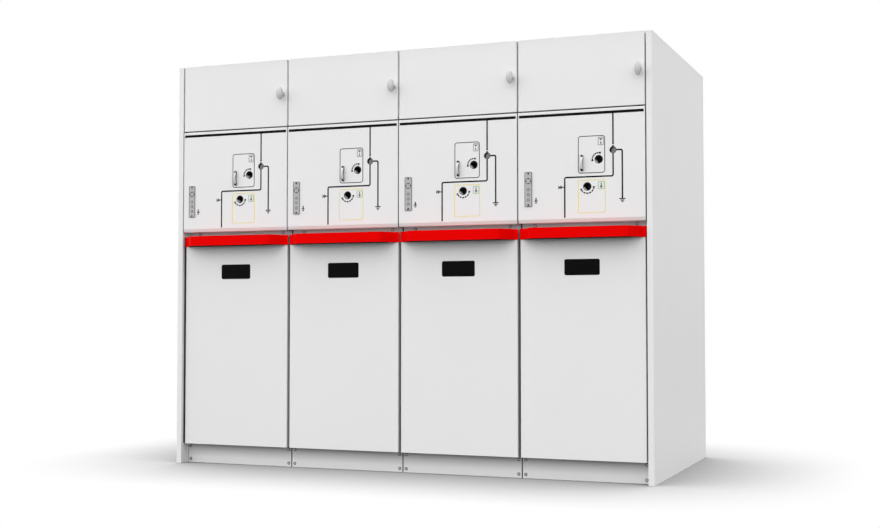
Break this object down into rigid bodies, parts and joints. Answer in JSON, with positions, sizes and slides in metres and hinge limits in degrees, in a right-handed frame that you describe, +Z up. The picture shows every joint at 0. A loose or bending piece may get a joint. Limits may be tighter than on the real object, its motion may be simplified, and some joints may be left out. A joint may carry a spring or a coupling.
{
  "type": "air-insulated switchgear line-up",
  "caption": "Row of floor-standing metal-enclosed switchgear cubicles with flush low-voltage doors, mimic fascias and lower covers with red bow handles.",
  "frame": {"origin": "centre of the footprint, on the floor, halfway between the handles' fronts and the rear covers", "axes": "+X along the row to the right as seen from the front, fronts face -Y, +Z up"},
  "size_m": [2.052, 1.091, 1.685],
  "materials": {
    "front_paint": "fine-textured powder coat",
    "galvanised_sheet": "zinc-coated sheet",
    "black_plastic": "matt",
    "dark_window": "dark tinted pane",
    "red_handle": "satin",
    "grey_plastic": "matt",
    "knob_plastic": "matt"
  },
  "bodies": {
    "enclosure": {"end_panel_left": "front_paint", "end_panel_right": "front_paint", "cubicle_walls_1": "galvanised_sheet", "cubicle_walls_2": "galvanised_sheet", "cubicle_walls_3": "galvanised_sheet", "cubicle_walls_4": "galvanised_sheet", "frame_posts": "galvanised_sheet", "roof_plates": "front_paint", "rear_covers": "front_paint", "base_rails_front": "galvanised_sheet", "base_rails_rear": "galvanised_sheet", "kick_plates": "front_paint", "lintels": "front_paint", "pivot_brackets": "galvanised_sheet", "lv_shelves": "galvanised_sheet", "lv_backs": "galvanised_sheet", "lv_rims": "galvanised_sheet", "fascia_1": "front_paint", "fascia_2": "front_paint", "fascia_3": "front_paint", "fascia_4": "front_paint", "line_seats": "black_plastic", "earth_seats": "black_plastic", "position_indicators": "grey_plastic", "voltage_indicators": "grey_plastic", "locking_levers": "knob_plastic", "lower_cover_1": "front_paint", "lower_cover_2": "front_paint", "lower_cover_3": "front_paint", "lower_cover_4": "front_paint", "cover_handle_1": "red_handle", "cover_handle_2": "red_handle", "cover_handle_3": "red_handle", "cover_handle_4": "red_handle", "inspection_windows": "dark_window"},
    "lv_door_1": {"lv_door_1": "front_paint"},
    "lv_knob_1": {"lv_knob_1": "knob_plastic"},
    "lv_door_2": {"lv_door_2": "front_paint"},
    "lv_knob_2": {"lv_knob_2": "knob_plastic"},
    "lv_door_3": {"lv_door_3": "front_paint"},
    "lv_knob_3": {"lv_knob_3": "knob_plastic"},
    "lv_door_4": {"lv_door_4": "front_paint"},
    "lv_knob_4": {"lv_knob_4": "knob_plastic"}
  },
  "joints": [
    {"name": "lv_door_1_hinge", "type": "hinge", "parent": "enclosure", "child": "lv_door_1", "pos_m": [-0.97725, -0.4935, 1.54725], "axis": [0, 0, -1], "range_deg": [0, 110]},
    {"name": "lv_door_2_hinge", "type": "hinge", "parent": "enclosure", "child": "lv_door_2", "pos_m": [-0.47725, -0.4935, 1.54725], "axis": [0, 0, -1], "range_deg": [0, 110]},
    {"name": "lv_door_3_hinge", "type": "hinge", "parent": "enclosure", "child": "lv_door_3", "pos_m": [0.02275, -0.4935, 1.54725], "axis": [0, 0, -1], "range_deg": [0, 110]},
    {"name": "lv_door_4_hinge", "type": "hinge", "parent": "enclosure", "child": "lv_door_4", "pos_m": [0.52275, -0.4935, 1.54725], "axis": [0, 0, -1], "range_deg": [0, 110]},
    {"name": "lv_knob_1_turn", "type": "hinge", "parent": "lv_door_1", "child": "lv_knob_1", "pos_m": [-0.52275, -0.5005, 1.542], "axis": [0, 1, 0], "range_deg": [0, 90]},
    {"name": "lv_knob_2_turn", "type": "hinge", "parent": "lv_door_2", "child": "lv_knob_2", "pos_m": [-0.02275, -0.5005, 1.542], "axis": [0, 1, 0], "range_deg": [0, 90]},
    {"name": "lv_knob_3_turn", "type": "hinge", "parent": "lv_door_3", "child": "lv_knob_3", "pos_m": [0.47725, -0.5005, 1.542], "axis": [0, 1, 0], "range_deg": [0, 90]},
    {"name": "lv_knob_4_turn", "type": "hinge", "parent": "lv_door_4", "child": "lv_knob_4", "pos_m": [0.97725, -0.5005, 1.542], "axis": [0, 1, 0], "range_deg": [0, 90]}
  ]
}
